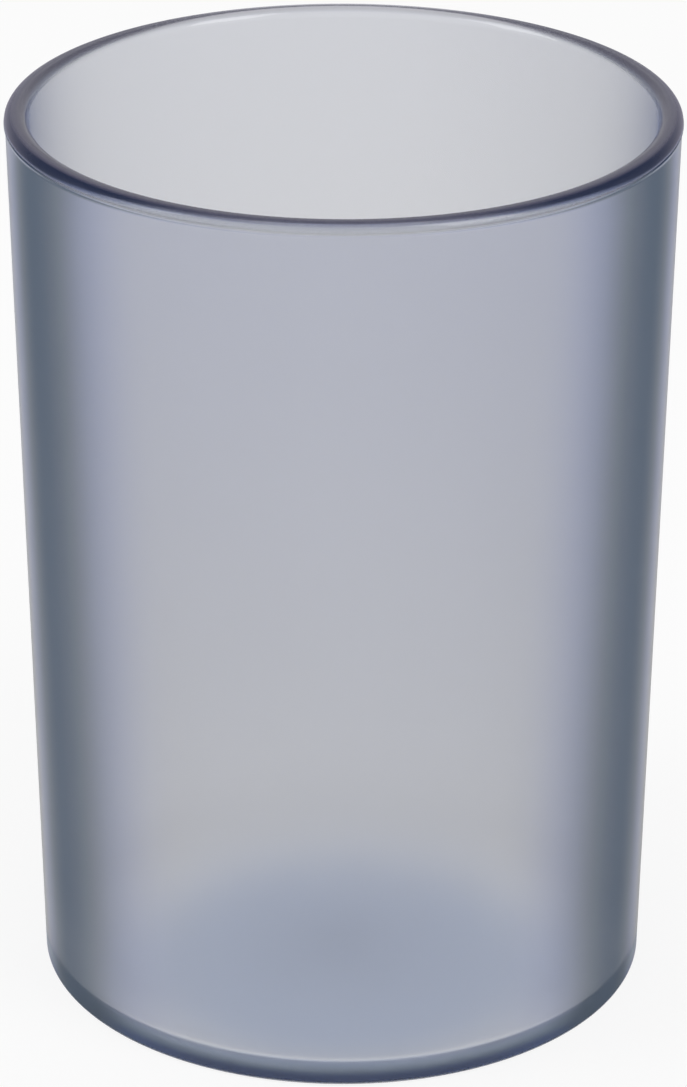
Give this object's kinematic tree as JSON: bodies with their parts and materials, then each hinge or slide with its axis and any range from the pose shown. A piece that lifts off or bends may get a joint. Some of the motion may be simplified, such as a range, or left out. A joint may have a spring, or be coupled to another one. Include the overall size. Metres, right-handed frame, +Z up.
{
  "type": "bathroom tumbler",
  "caption": "Plain bathroom tumbler: a slightly tapered round cup of translucent smoke-grey plastic, frosted outside, with a polished rounded lip.",
  "frame": {"origin": "centre of the surface that the tumbler stands on, under its axis", "axes": "+Z up along the cup's axis, out of its mouth; the cup is round, so +X and +Y are free"},
  "size_m": [0.075, 0.075, 0.1043],
  "materials": {
    "smoke_plastic": "translucent smoke-grey plastic, frosted by the mould outside, polished at the lip and smooth inside"
  },
  "bodies": {
    "root": {"tumbler": "smoke_plastic"}
  },
  "joints": []
}
